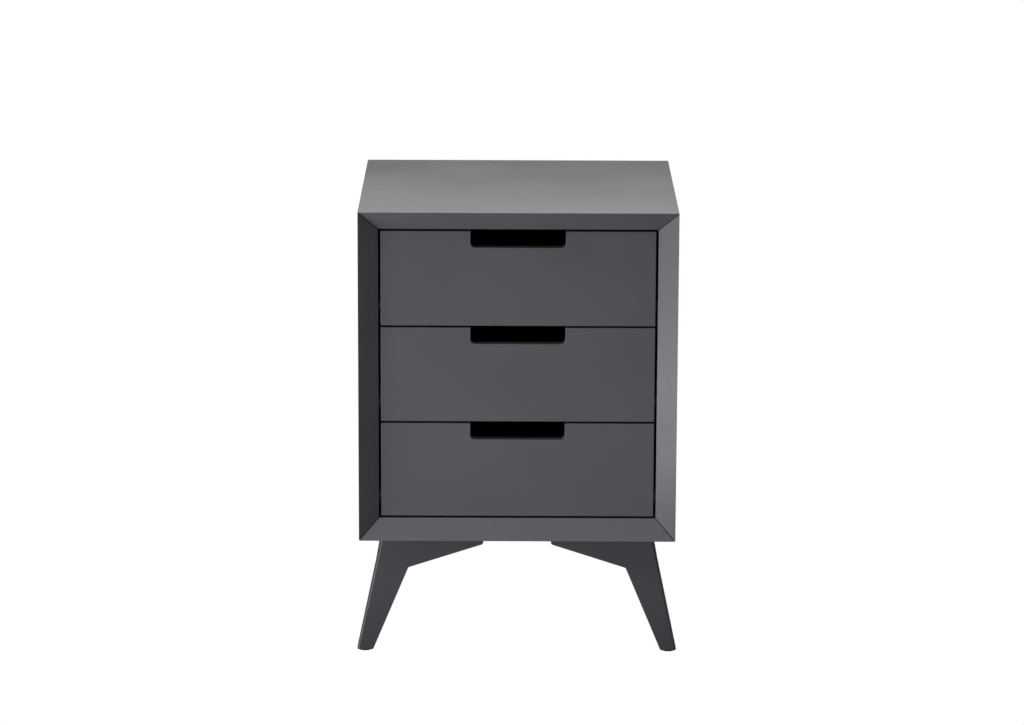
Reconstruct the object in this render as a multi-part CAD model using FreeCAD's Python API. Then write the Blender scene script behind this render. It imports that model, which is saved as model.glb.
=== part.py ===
import FreeCAD, Part
import math
import os

# Nightstand with three drawers, in millimetres.
#
# +Z is up, the front faces -Y, x = 0 is the middle plane and z = 0 is the floor.
# Four boards are mitred round a thin back to make the case, and their front edges slope inwards
# to the drawers. Each drawer is a wooden box on a pair of roller runners. Four legs, each folded
# round a corner from a front board and a side board, carry the case.

# Case
case_width = 420.0
case_depth = 400.0
case_height = 443.0
leg_height = 152.0          # from the floor to the case's underside
board = 26.0                # thickness of the four case boards
bevel_depth = 23.5          # how far the sloped front edges run back
edge_radius = 1.0           # softened outer edges of the case

# Back panel
back_thickness = 4.0
back_lap = 9.0              # how far its rebate reaches into the boards
back_clearance = 0.5        # between its edge and the rebate
back_screw_spread = 0.36    # outer screws, as a share of the panel's width or height

# Dowels across the mitres
dowel_radius = 3.0
dowel_length = 20.0
dowel_inset = 10.0          # from the mitre's inner edge, along the mitre
dowel_spacing = 120.0       # along the depth
fit_gap = 0.05              # round dowels, screws and rivets in their holes
end_gap = 0.5               # beyond the end of a dowel or a screw

# Legs
leg_board = 20.0            # thickness of a leg's boards
leg_splay = 33.0            # how far a foot stands out from the leg's top, both ways
leg_inset_side = 30.0       # from the case's side to the leg's top
leg_inset_front = 33.0      # from the case's front to the leg's top
rear_leg_inset = 14.0       # how much further in the rear legs stand
foot_width = 21.3
crook_drop = 43.0           # from the case down to the crook
crook_width = 44.5          # across the leg at the crook
tip_height = 12.5           # an arm's height at its tip
tip_radius = 3.0
fold_radius = 6.0           # rounding along a leg's outer corner
front_tip_gap = 90.0        # between the tips of two arms, along the front
side_tip_gap = 52.0         # between the tips of two arms, along a side
leg_screw_inset = 9.0       # from a leg's faces to its screws
leg_screw_reach = 72.0      # from the corner to the screws in the arms
pad_radius = 9.0
pad_thickness = 2.0

# Drawers
drawer_levels = ["lower", "middle", "upper"]
drawer_gap = 2.5            # above, between and below the drawer fronts
front_side_gap = 3.0
front_thickness = 16.0
front_edge_radius = 0.8
grip_width = 125.0
grip_depth = 22.0
grip_radius = 6.0
grip_margin = 7.0           # from the drawer sides' top up to the grip
box_rise = 14.0             # from a front's bottom up to the drawer box
rear_clearance = 6.5        # from the drawer box to the back panel
side_thickness = 12.0
side_joint_depth = 6.0      # how far the sides are let into the front
drawer_back_thickness = 12.0
drawer_back_joint_depth = 4.0
bottom_thickness = 4.0
bottom_rise = 10.0          # from the sides' bottom up to the drawer's bottom
groove_depth = 6.0
groove_gap = 0.3            # beyond the drawer bottom's edges
groove_headroom = 0.2       # above the drawer bottom in its grooves
bottom_screw_spacing = 120.0
rear_engagement = 90.0      # length of drawer box that stays in the case

# Runners
runner_space = 12.5         # from the case's side to the drawer's side
sheet = 1.2                 # thickness of the rails
rail_gap = 1.0              # from a case rail's flanges to the drawer rail, and behind the front
case_roller_radius = 7.0
drawer_roller_radius = 8.0
roller_edge_radius = 0.5
roller_inset = 12.0         # from a rail's end to its roller's axle
roller_side_gap = 0.2
running_gap = 0.05          # between a roller and what runs on it, and round an axle
case_roller_lift = 0.5      # from the channel's floor to the case roller
channel_headroom = 0.95     # above the drawer roller and the running flange
support_rise = 1.0          # from the channel's underside to the drawer box
support_flange = 12.0       # how far a drawer rail reaches under the box
axle_radius = 2.5
shoulder_radius = 4.0
shoulder_width = 0.6
axle_head_radius = 3.8
axle_head_width = 0.8
axle_head_clearance = 1.3   # from an axle's head to the rail that faces it
stop_height = 3.8           # of the lug that stops the drawer roller
stop_margin = 1.8           # from the lug to the channel's web and open side
stop_gap = 0.3
rail_screw_inset = 40.0
drawer_screw_rise = 4.0     # from the box's bottom up to its rail screws

# Screws, as head radius, shank radius and length
rail_screw = (3.25, 1.75, 13.0)
small_screw = (3.0, 1.5, 11.0)
panel_screw = (3.0, 1.5, 16.0)
leg_screw = (5.0, 2.5, 45.0)
screw_point = 2.0           # a point's length, in shank radii
recess_width = 0.8
recess_depth = 1.2
recess_reach = 1.1          # from a recess's middle to its ends, in shank radii

# Case faces
half_width = case_width / 2
half_depth = case_depth / 2
case_bottom = leg_height
case_top = leg_height + case_height
inner_x = half_width - board
inner_bottom = case_bottom + board
inner_top = case_top - board
front_face = bevel_depth - half_depth
back_face = half_depth - back_thickness

# Drawer faces. Heights are counted from the bottom of the drawer's front.
drawer_count = len(drawer_levels)
front_height = (inner_top - inner_bottom - (drawer_count + 1) * drawer_gap) / drawer_count
front_half = inner_x - front_side_gap
box_half = inner_x - runner_space
box_inner = box_half - side_thickness
box_front = front_face + front_thickness
box_rear = back_face - rear_clearance
side_height = front_height - grip_depth - grip_margin - box_rise
side_top = box_rise + side_height
bottom_low = box_rise + bottom_rise
bottom_high = bottom_low + bottom_thickness
travel = box_rear - box_front - rear_engagement

# Runner faces, with heights counted as for the drawers
channel_low = box_rise - support_rise
channel_floor = channel_low + sheet
case_roller_z = channel_floor + case_roller_lift + case_roller_radius
drawer_roller_z = channel_floor + running_gap + drawer_roller_radius
running_flange_z = case_roller_z + case_roller_radius + running_gap
channel_roof = channel_headroom + max(drawer_roller_z + drawer_roller_radius,
                                      running_flange_z + sheet)
channel_high = channel_roof + sheet
case_flange = runner_space - sheet - rail_gap
rail_front = box_front + rail_gap
rail_rear = box_rear
case_roller_y = rail_front + roller_inset
drawer_roller_y = rail_rear - roller_inset
roller_width = (runner_space - 2 * sheet - shoulder_width - 2 * roller_side_gap
                - axle_head_width - axle_head_clearance)
rail_screw_ys = [rail_front + rail_screw_inset, (rail_front + rail_rear) / 2,
                 rail_rear - rail_screw_inset]
case_screw_z = (channel_low + channel_high) / 2
drawer_screw_z = box_rise + drawer_screw_rise

# Leg corners, at the case's underside
front_leg_x = half_width - leg_inset_side
front_leg_y = half_depth - leg_inset_front
rear_leg_x = front_leg_x - rear_leg_inset
rear_leg_y = front_leg_y - rear_leg_inset
side_reach = (front_leg_y + rear_leg_y - side_tip_gap) / 2

left = FreeCAD.Vector(-1, 0, 0)
right = FreeCAD.Vector(1, 0, 0)
forward = FreeCAD.Vector(0, -1, 0)
up = FreeCAD.Vector(0, 0, 1)
down = FreeCAD.Vector(0, 0, -1)
origin = FreeCAD.Vector(0, 0, 0)
tolerance = 0.01            # for finding an edge by its place


def box(x, y, z):
    """A block between two values of x, of y and of z."""
    low = FreeCAD.Vector(x[0], y[0], z[0])
    return Part.makeBox(x[1] - x[0], y[1] - y[0], z[1] - z[0], low)


def rounded_corner(before, corner, after, radius):
    """The arc that rounds a corner, from its first point to its last."""
    inwards = (before - corner).normalize()
    outwards = (after - corner).normalize()
    half_angle = inwards.getAngle(outwards) / 2
    middle = (inwards + outwards).normalize()
    centre = corner + middle * (radius / math.sin(half_angle))
    tangent = radius / math.tan(half_angle)
    return Part.Arc(corner + inwards * tangent, centre - middle * radius,
                    corner + outwards * tangent)


def prism(axis, outline, start, end):
    """An outline drawn across an axis and run along it. A corner's third value rounds it.

    Outlines are in (y, z) across x, and in (x, z) across y.
    """
    def place(a, b):
        return FreeCAD.Vector(start, a, b) if axis == "x" else FreeCAD.Vector(a, start, b)

    corners = [place(point[0], point[1]) for point in outline]
    radii = [point[2] if len(point) == 3 else 0 for point in outline]
    arcs = []
    for i, radius in enumerate(radii):
        before = corners[i - 1]
        after = corners[(i + 1) % len(corners)]
        arcs.append(rounded_corner(before, corners[i], after, radius) if radius else None)
    edges = []
    for i, arc in enumerate(arcs):
        following = arcs[(i + 1) % len(arcs)]
        leave = arc.EndPoint if arc else corners[i]
        arrive = following.StartPoint if following else corners[(i + 1) % len(corners)]
        if arc:
            edges.append(arc.toShape())
        edges.append(Part.LineSegment(leave, arrive).toShape())
    direction = right if axis == "x" else forward * -1
    return Part.Face(Part.Wire(edges)).extrude(direction * (end - start))


def turned(profile):
    """A closed profile of (radius, height) points turned about the z axis."""
    points = [FreeCAD.Vector(radius, 0, height) for radius, height in profile]
    return Part.Face(Part.makePolygon(points + points[:1])).revolve(origin, up, 360)


def placed(shape, x, y, z, direction):
    """A copy of a shape made along -z from the origin, set at a point and turned."""
    copy = shape.copy()
    rotation = FreeCAD.Rotation(down, direction)
    copy.Placement = FreeCAD.Placement(FreeCAD.Vector(x, y, z), rotation)
    return copy


def mirrored(shape, axis):
    return shape.mirror(origin, axis)


def raised(shape, height):
    return shape.translated(up * height)


def edges_where(shape, test):
    """The edges of a shape whose ends and middle all pass a test."""
    return [edge for edge in shape.Edges if all(test(point) for point in edge.discretize(3))]


def save(name, solids):
    """Writes one sub-part, which is one solid or a group of separate ones."""
    shape = solids[0] if len(solids) == 1 else Part.makeCompound(solids)
    if not shape.Solids or not shape.isValid():
        raise ValueError(name + " isn't a valid solid")
    shape.exportStep("parts/" + name + ".step")


def screw_blank(size, gap):
    """A countersunk screw's outline along -z, or its hole when there is a gap."""
    head, shank, length = size
    point = screw_point * shank
    reach = length + (end_gap if gap else 0)
    return turned([(0, 0), (head + gap, 0), (shank + gap, shank - head),
                   (shank + gap, point - reach), (0, -reach)])


def screw(size):
    """A countersunk screw along -z with its head's face at the origin and a cross recess."""
    arm = size[1] * recess_reach
    half = recess_width / 2
    along_x = box((-arm, arm), (-half, half), (-recess_depth, 0))
    along_y = box((-half, half), (-arm, arm), (-recess_depth, 0))
    return screw_blank(size, 0).cut([along_x, along_y])


def screw_set(size, places):
    """Screws and their holes, at a list of (x, y, z, direction)."""
    solid = screw(size)
    hole = screw_blank(size, fit_gap)
    return ([placed(solid, *place) for place in places],
            [placed(hole, *place) for place in places])


def dowel_set():
    """Dowels across the four mitres, and their holes."""
    reach = dowel_inset / math.sqrt(2)
    dowels = []
    holes = []
    for side in (-1, 1):
        for end, height in ((-1, inner_bottom), (1, inner_top)):
            across = FreeCAD.Vector(-end, 0, side).normalize()
            for row in (-1, 0, 1):
                centre = FreeCAD.Vector(side * (inner_x + reach), row * dowel_spacing,
                                        height + end * reach)
                start = centre - across * (dowel_length / 2)
                dowels.append(Part.makeCylinder(dowel_radius, dowel_length, start, across))
                holes.append(Part.makeCylinder(dowel_radius + fit_gap,
                                               dowel_length + 2 * end_gap,
                                               start - across * end_gap, across))
    return dowels, holes


def case_ring():
    """The case's four boards in one piece: sloped front edges and a rebate for the back."""
    def rectangle(half, low, high, y):
        corners = [(-half, low), (half, low), (half, high), (-half, high), (-half, low)]
        return Part.makePolygon([FreeCAD.Vector(x, y, z) for x, z in corners])

    block = box((-half_width, half_width), (-half_depth, half_depth), (case_bottom, case_top))
    block = block.makeFillet(edge_radius, block.Edges)
    slopes = Part.makeLoft([rectangle(half_width, case_bottom, case_top, -half_depth),
                            rectangle(inner_x, inner_bottom, inner_top, front_face)], True, True)
    opening = box((-inner_x, inner_x), (front_face, half_depth), (inner_bottom, inner_top))
    rebate = box((-inner_x - back_lap, inner_x + back_lap), (back_face, half_depth),
                 (inner_bottom - back_lap, inner_top + back_lap))
    return block.cut([slopes, opening, rebate])


def case_boards(holes):
    """The four case boards, cut apart along the mitres."""
    ring = case_ring()

    def board_between(outer, inner):
        wedge = prism("y", outer + inner, -half_depth, half_depth)
        return ring.common(wedge).cut(holes)

    top_left, top_right = (-half_width, case_top), (half_width, case_top)
    low_left, low_right = (-half_width, case_bottom), (half_width, case_bottom)
    inner_top_left, inner_top_right = (-inner_x, inner_top), (inner_x, inner_top)
    inner_low_left, inner_low_right = (-inner_x, inner_bottom), (inner_x, inner_bottom)
    save("top_panel", [board_between([top_left, top_right],
                                     [inner_top_right, inner_top_left])])
    save("bottom_panel", [board_between([low_left, low_right],
                                        [inner_low_right, inner_low_left])])
    save("left_side_panel", [board_between([low_left, top_left],
                                           [inner_top_left, inner_low_left])])
    save("right_side_panel", [board_between([low_right, top_right],
                                            [inner_top_right, inner_low_right])])


def back_screw_places():
    """Three screws along each edge of the back panel, in the middle of its lap."""
    edge_x = inner_x + back_lap / 2
    low = inner_bottom - back_lap / 2
    high = inner_top + back_lap / 2
    middle = (low + high) / 2
    spread_x = 2 * edge_x * back_screw_spread
    spread_z = (high - low) * back_screw_spread
    places = []
    for step in (-1, 0, 1):
        for z in (low, high):
            places.append((step * spread_x, half_depth, z, forward))
        for x in (-edge_x, edge_x):
            places.append((x, half_depth, middle + step * spread_z, forward))
    return places


def back_panel(holes):
    overlap = back_lap - back_clearance
    panel = box((-inner_x - overlap, inner_x + overlap), (back_face, half_depth),
                (inner_bottom - overlap, inner_top + overlap))
    save("back_panel", [panel.cut(holes)])


def leg_outline(reach):
    """One board of a leg, seen square on, from the case's underside down to the foot."""
    height = leg_height - pad_thickness
    crook = crook_width - leg_splay * crook_drop / height
    return [(0, leg_height), (-leg_splay, pad_thickness),
            (foot_width - leg_splay, pad_thickness), (crook, leg_height - crook_drop),
            (reach, leg_height - tip_height, tip_radius), (reach, leg_height)]


def corner_leg(front_reach):
    """A leg whose top corner is at x = 0 and y = 0, with its boards along +x and +y."""
    slope = [(0, leg_height), (-leg_splay, pad_thickness),
             (leg_board - leg_splay, pad_thickness), (leg_board, leg_height)]
    front = prism("y", leg_outline(front_reach), -leg_splay, leg_board)
    front = front.common(prism("x", slope, -leg_splay, front_reach))
    side = prism("x", leg_outline(side_reach), -leg_splay, leg_board)
    side = side.common(prism("y", slope, -leg_splay, side_reach))
    leg = front.fuse(side).removeSplitter()
    height = leg_height - pad_thickness

    def on_outer_corner(point):
        out = leg_splay * (point.z - leg_height) / height
        return abs(point.x - out) < tolerance and abs(point.y - out) < tolerance

    return leg.makeFillet(fold_radius, edges_where(leg, on_outer_corner))


def leg_corners():
    """Each leg's name, the place of its top corner, and the ways that its boards run."""
    return [("front_left_leg", -front_leg_x, -front_leg_y, 1, 1),
            ("front_right_leg", front_leg_x, -front_leg_y, -1, 1),
            ("rear_left_leg", -rear_leg_x, rear_leg_y, 1, -1),
            ("rear_right_leg", rear_leg_x, rear_leg_y, -1, -1)]


def leg_screw_places():
    spots = [(leg_screw_inset, leg_screw_inset), (leg_screw_reach, leg_screw_inset),
             (leg_screw_inset, leg_screw_reach)]
    return [(x + way_x * a, y + way_y * b, inner_bottom, down)
            for _, x, y, way_x, way_y in leg_corners() for a, b in spots]


def legs(holes):
    for name, x, y, way_x, way_y in leg_corners():
        leg = corner_leg(abs(x) - front_tip_gap / 2)
        if way_x < 0:
            leg = mirrored(leg, right)
        if way_y < 0:
            leg = mirrored(leg, forward)
        save(name, [leg.translated(FreeCAD.Vector(x, y, 0)).cut(holes)])


def foot_pads():
    """Round pads, each under the middle of a foot."""
    out = leg_splay - foot_width / 2
    save("foot_pads", [Part.makeCylinder(pad_radius, pad_thickness,
                                         FreeCAD.Vector(x - way_x * out, y - way_y * out, 0))
                       for _, x, y, way_x, way_y in leg_corners()])


def roller_axle():
    """A riveted axle along -z: its base fills a rail's web, then shoulder, pin and head."""
    lengths = [(axle_radius, sheet), (shoulder_radius, shoulder_width),
               (axle_radius, roller_width + 2 * roller_side_gap),
               (axle_head_radius, axle_head_width)]
    profile = [(0, 0)]
    depth = 0
    for radius, length in lengths:
        profile += [(radius, depth), (radius, depth - length)]
        depth -= length
    return turned(profile + [(0, depth)])


def roller(radius):
    """A roller along -z, set off from a rail's outer face by its web, shoulder and gap."""
    start = sheet + shoulder_width + roller_side_gap
    wheel = Part.makeCylinder(radius, roller_width, down * start, down)
    wheel = wheel.makeFillet(roller_edge_radius, edges_where(
        wheel, lambda point: abs(math.hypot(point.x, point.y) - radius) < tolerance))
    bore = Part.makeCylinder(axle_radius + running_gap, roller_width, down * start, down)
    return wheel.cut(bore)


def case_rail():
    """The left case rail: a channel open towards the drawer, with a lug up from its floor."""
    web_face = sheet - inner_x
    edge = case_flange - inner_x
    channel = prism("y", [(-inner_x, channel_low), (edge, channel_low), (edge, channel_floor),
                          (web_face, channel_floor), (web_face, channel_roof),
                          (edge, channel_roof), (edge, channel_high), (-inner_x, channel_high)],
                    rail_front, rail_rear)
    above_lug = drawer_roller_z - channel_floor - stop_height
    roller_reach = math.sqrt(drawer_roller_radius ** 2 - above_lug ** 2)
    stop_face = drawer_roller_y - travel - roller_reach - stop_gap
    lug = box((web_face + stop_margin, edge - stop_margin), (stop_face - sheet, stop_face),
              (channel_floor, channel_floor + stop_height))
    hole = Part.makeCylinder(axle_radius + fit_gap, sheet,
                             FreeCAD.Vector(-inner_x, case_roller_y, case_roller_z), right)
    return channel.fuse(lug).removeSplitter().cut(hole)


def drawer_rail():
    """The left drawer rail: a flange that runs on the case roller, a web and a flange under
    the box. The running flange stops short of the drawer roller."""
    web = box((-box_half - sheet, -box_half), (rail_front, rail_rear),
              (box_rise - sheet, running_flange_z + sheet))
    under = box((-box_half - sheet, support_flange - box_half), (rail_front, rail_rear),
                (box_rise - sheet, box_rise))
    running = box((sheet + axle_head_clearance - inner_x, -box_half),
                  (rail_front, drawer_roller_y - drawer_roller_radius - rail_gap),
                  (running_flange_z, running_flange_z + sheet))
    hole = Part.makeCylinder(axle_radius + fit_gap, sheet,
                             FreeCAD.Vector(-box_half, drawer_roller_y, drawer_roller_z), left)
    return web.fuse([under, running]).removeSplitter().cut(hole)


def drawer_front():
    front = box((-front_half, front_half), (front_face, box_front), (0, front_height))
    grip_low = front_height - grip_depth
    above = front_height + grip_radius
    half = grip_width / 2
    grip = prism("y", [(-half, above), (-half, grip_low, grip_radius),
                       (half, grip_low, grip_radius), (half, above)],
                 front_face, box_front)
    front = front.cut(grip)
    front = front.makeFillet(front_edge_radius, edges_where(
        front, lambda point: abs(point.y - front_face) < tolerance))
    joint = (box_front - side_joint_depth, box_front)
    side_joints = [box(span, joint, (box_rise, side_top))
                   for span in ((-box_half, -box_inner), (box_inner, box_half))]
    groove = box((-box_inner - groove_depth, box_inner + groove_depth),
                 (box_front - groove_depth, box_front),
                 (bottom_low, bottom_high + groove_headroom))
    return front.cut(side_joints + [groove])


def drawer_side(holes):
    """The left side of a drawer, grooved for the bottom and rebated for the back."""
    length = (box_front - side_joint_depth, box_rear)
    side = box((-box_half, -box_inner), length, (box_rise, side_top))
    groove = box((-box_inner - groove_depth, -box_inner), length,
                 (bottom_low, bottom_high + groove_headroom))
    rebate = box((-box_inner - drawer_back_joint_depth, -box_inner),
                 (box_rear - drawer_back_thickness, box_rear), (bottom_high, side_top))
    return side.cut([groove, rebate] + holes)


def drawer_bottom(holes):
    edge = box_inner + groove_depth - groove_gap
    panel = box((-edge, edge), (box_front - groove_depth + groove_gap, box_rear),
                (bottom_low, bottom_high))
    return panel.cut(holes)


def drawer_back(holes):
    edge = box_inner + drawer_back_joint_depth
    panel = box((-edge, edge), (box_rear - drawer_back_thickness, box_rear),
                (bottom_high, side_top))
    return panel.cut(holes)


def runners():
    """The left and right rails, rollers and axles of one drawer, at the front's bottom."""
    case_screws, case_holes = screw_set(
        rail_screw, [(sheet - inner_x, y, case_screw_z, left) for y in rail_screw_ys])
    box_screws, box_holes = screw_set(
        small_screw, [(-box_half - sheet, y, drawer_screw_z, right) for y in rail_screw_ys])
    axle = roller_axle()
    case_place = (-inner_x, case_roller_y, case_roller_z, right)
    drawer_place = (-box_half, drawer_roller_y, drawer_roller_z, left)
    pieces = {"case_rail": [case_rail().cut(case_holes)],
              "case_screws": case_screws,
              "case_holes": case_holes,
              "case_axle": [placed(axle, *case_place)],
              "case_roller": [placed(roller(case_roller_radius), *case_place)],
              "drawer_rail": [drawer_rail().cut(box_holes)],
              "drawer_screws": box_screws,
              "drawer_holes": box_holes,
              "drawer_axle": [placed(axle, *drawer_place)],
              "drawer_roller": [placed(roller(drawer_roller_radius), *drawer_place)]}
    right_pieces = {name: [mirrored(solid, right) for solid in solids]
                    for name, solids in pieces.items()}
    return pieces, right_pieces


def drawer_boxes(left_runner, right_runner, level_heights):
    """Each drawer's boards, rails, rollers and fasteners, at every level."""
    rear_middle = box_rear - drawer_back_thickness / 2
    bottom_screws, bottom_holes = screw_set(
        panel_screw, [(step * bottom_screw_spacing, rear_middle, bottom_low, up)
                      for step in (-1, 0, 1)])
    side = drawer_side(left_runner["drawer_holes"])
    pieces = {"drawer_front": [drawer_front()],
              "drawer_left_side": [side],
              "drawer_right_side": [mirrored(side, right)],
              "drawer_back": [drawer_back(bottom_holes)],
              "drawer_bottom": [drawer_bottom(bottom_holes)],
              "left_drawer_rail": left_runner["drawer_rail"],
              "right_drawer_rail": right_runner["drawer_rail"],
              "left_drawer_roller": left_runner["drawer_roller"],
              "right_drawer_roller": right_runner["drawer_roller"],
              "drawer_roller_axles": left_runner["drawer_axle"] + right_runner["drawer_axle"],
              "drawer_screws": (left_runner["drawer_screws"] + right_runner["drawer_screws"]
                                + bottom_screws)}
    for level, height in level_heights.items():
        for name, solids in pieces.items():
            save(level + "_" + name, [raised(solid, height) for solid in solids])


def case_runners(left_runner, right_runner, level_heights):
    """The rails and rollers that stay on the case, and all their screws and axles."""
    screws = []
    axles = []
    for level, height in level_heights.items():
        for side, runner in (("left", left_runner), ("right", right_runner)):
            for name in ("case_rail", "case_roller"):
                save(level + "_" + side + "_" + name,
                     [raised(solid, height) for solid in runner[name]])
            screws += [raised(solid, height) for solid in runner["case_screws"]]
            axles += [raised(solid, height) for solid in runner["case_axle"]]
    save("case_rail_screws", screws)
    save("case_roller_axles", axles)


def main():
    os.makedirs("parts", exist_ok=True)
    level_heights = {level: inner_bottom + drawer_gap + i * (front_height + drawer_gap)
                     for i, level in enumerate(drawer_levels)}
    left_runner, right_runner = runners()
    rail_holes = [raised(hole, height) for height in level_heights.values()
                  for hole in left_runner["case_holes"] + right_runner["case_holes"]]
    dowels, dowel_holes = dowel_set()
    back_screws, back_holes = screw_set(panel_screw, back_screw_places())
    leg_screws, leg_holes = screw_set(leg_screw, leg_screw_places())

    case_boards(dowel_holes + back_holes + leg_holes + rail_holes)
    back_panel(back_holes)
    legs(leg_holes)
    foot_pads()
    save("case_dowels", dowels)
    save("back_panel_screws", back_screws)
    save("leg_screws", leg_screws)
    case_runners(left_runner, right_runner, level_heights)
    drawer_boxes(left_runner, right_runner, level_heights)
    print("drawer travel", travel, "front height", front_height, "box length",
          box_rear - box_front)


main()
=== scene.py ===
import math

import bmesh
import bpy
from mathutils import Matrix, Vector


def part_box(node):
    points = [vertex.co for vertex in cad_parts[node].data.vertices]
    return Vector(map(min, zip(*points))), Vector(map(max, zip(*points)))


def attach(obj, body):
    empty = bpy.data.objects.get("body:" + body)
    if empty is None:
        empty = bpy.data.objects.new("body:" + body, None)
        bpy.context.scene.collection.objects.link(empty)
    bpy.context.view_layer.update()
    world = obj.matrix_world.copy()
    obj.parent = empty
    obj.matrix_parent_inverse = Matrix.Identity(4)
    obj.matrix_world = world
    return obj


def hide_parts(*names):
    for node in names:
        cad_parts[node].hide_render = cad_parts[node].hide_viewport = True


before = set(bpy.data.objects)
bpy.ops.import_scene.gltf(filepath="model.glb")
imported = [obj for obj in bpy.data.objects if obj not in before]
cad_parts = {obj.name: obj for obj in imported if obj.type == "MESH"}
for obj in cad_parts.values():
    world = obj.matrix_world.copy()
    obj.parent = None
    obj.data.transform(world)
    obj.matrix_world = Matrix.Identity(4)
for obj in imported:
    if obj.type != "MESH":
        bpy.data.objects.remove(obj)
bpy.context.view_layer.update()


def mm(*values):
    scaled = [value / 1000 for value in values]
    return scaled[0] if len(scaled) == 1 else Vector(scaled)


nearby = mm(0.02)        # places closer than this are one place
flatAngle = math.radians(1)
sharpAngle = math.radians(35)
smoothAngle = math.radians(32)


def isAt(value, target):
    return abs(value - target) < nearby


def useOnly(piece):
    # leaves one piece selected and active, so an operator can't touch the others
    bpy.ops.object.select_all(action="DESELECT")
    piece.select_set(True)
    bpy.context.view_layer.objects.active = piece


def settle(piece):
    # puts a piece's place, turn and size into its mesh
    useOnly(piece)
    bpy.ops.object.transform_apply(location=True, rotation=True, scale=True)


def keepPrimitive(name, scale):
    piece = bpy.context.object
    piece.name = piece.data.name = name
    piece.scale = scale
    settle(piece)
    return piece


def addBlock(name, low, high):
    low, high = Vector(low), Vector(high)
    bpy.ops.object.select_all(action="DESELECT")
    bpy.ops.mesh.primitive_cube_add(size=1, location=(low + high) / 2)
    return keepPrimitive(name, high - low)


def addSheet(name, low, high):
    # a flat rectangle between two corners that share one coordinate
    low, high = Vector(low), Vector(high)
    size = high - low
    turns = {0: (0, math.pi / 2, 0), 1: (math.pi / 2, 0, 0), 2: (0, 0, 0)}
    scales = {0: (size.z, size.y, 1), 1: (size.x, size.z, 1), 2: (size.x, size.y, 1)}
    flat = min(range(3), key=lambda axis: abs(size[axis]))
    bpy.ops.object.select_all(action="DESELECT")
    bpy.ops.mesh.primitive_plane_add(size=1, location=(low + high) / 2, rotation=turns[flat])
    return keepPrimitive(name, scales[flat])


def startEdit(piece):
    useOnly(piece)
    bpy.ops.object.mode_set(mode="EDIT")


def endEdit():
    bpy.ops.object.mode_set(mode="OBJECT")


def pick(piece, kind, test):
    # in edit mode, selects the corners, edges or faces whose middle passes a test
    bpy.ops.mesh.select_mode(type=kind)
    bpy.ops.mesh.select_all(action="DESELECT")
    mesh = bmesh.from_edit_mesh(piece.data)
    parts = {"VERT": mesh.verts, "EDGE": mesh.edges, "FACE": mesh.faces}[kind]
    found = 0
    for part in parts:
        corners = [part] if kind == "VERT" else list(part.verts)
        if test(sum((corner.co for corner in corners), Vector()) / len(corners)):
            part.select_set(True)
            found += 1
    bmesh.update_edit_mesh(piece.data)
    if not found:
        raise ValueError("nothing to pick on " + piece.name)


def pickEdge(piece, start, end):
    # the edge between two corners, and nothing else
    pick(piece, "EDGE", lambda p: (p - (start + end) / 2).length < nearby)


def move(offset):
    bpy.ops.transform.translate(value=offset)


def moveCorner(piece, start, end):
    pick(piece, "VERT", lambda p: (p - start).length < nearby)
    move(end - start)


def extrude(offset):
    bpy.ops.mesh.extrude_region_move(TRANSFORM_OT_translate={"value": offset})


def bisect(point, normal):
    bpy.ops.mesh.bisect(plane_co=point, plane_no=normal)


def mergeFlat():
    # takes out the edges between faces in one plane
    bpy.ops.mesh.select_all(action="SELECT")
    bpy.ops.mesh.dissolve_limited(angle_limit=flatAngle)


def outlineOnly():
    # leaves the outer edges of a flat shape, ready to spin
    mergeFlat()
    bpy.ops.mesh.select_all(action="SELECT")
    bpy.ops.mesh.delete(type="ONLY_FACE")


def tidyNormals():
    bpy.ops.mesh.select_mode(type="FACE")
    bpy.ops.mesh.select_all(action="SELECT")
    bpy.ops.mesh.normals_make_consistent(inside=False)


def useModifier(piece, kind, **settings):
    useOnly(piece)
    modifier = piece.modifiers.new(kind.title(), kind)
    for name, value in settings.items():
        setattr(modifier, name, value)
    bpy.ops.object.modifier_apply(modifier=modifier.name)


def weighEdges(piece, weigh):
    # gives each edge a bevel weight worked out from its two ends
    weights = piece.data.attributes.get("bevel_weight_edge")
    weights = weights or piece.data.attributes.new("bevel_weight_edge", "FLOAT", "EDGE")
    corners = piece.data.vertices
    for edge in piece.data.edges:
        ends = [corners[index].co for index in edge.vertices]
        weights.data[edge.index].value = weigh(*ends)


def roundEdges(piece, radius, segments=3, weigh=None):
    # softens the weighed edges, or every sharp one
    if weigh:
        weighEdges(piece, weigh)
    useModifier(piece, "BEVEL", width=radius, segments=segments, miter_outer="MITER_ARC",
                limit_method="WEIGHT" if weigh else "ANGLE", angle_limit=sharpAngle)


def cutAway(piece, cutter):
    useModifier(piece, "BOOLEAN", operation="DIFFERENCE", solver="EXACT", object=cutter)
    bpy.data.objects.remove(cutter)


def joinPieces(pieces, name):
    useOnly(pieces[0])
    for piece in pieces[1:]:
        piece.select_set(True)
    if len(pieces) > 1:
        bpy.ops.object.join()
    pieces[0].name = pieces[0].data.name = name
    return pieces[0]


def boxEdge(a, b, low, high):
    # 1 for an edge along the outer corners of a block, 0 for any other
    onFaces = sum(1 for axis in range(3) for face in (low[axis], high[axis])
                  if isAt(a[axis], face) and isAt(b[axis], face))
    return 1 if onFaces > 1 else 0


def copyPiece(piece, name, shift, turn):
    # a copy with its own mesh, turned over by negative sizes if need be, then moved
    useOnly(piece)
    bpy.ops.object.duplicate(linked=False)
    twin = bpy.context.object
    twin.name = twin.data.name = name
    twin.scale = turn
    settle(twin)
    startEdit(twin)
    tidyNormals()
    endEdit()
    twin.location = shift
    settle(twin)
    return twin


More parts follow.
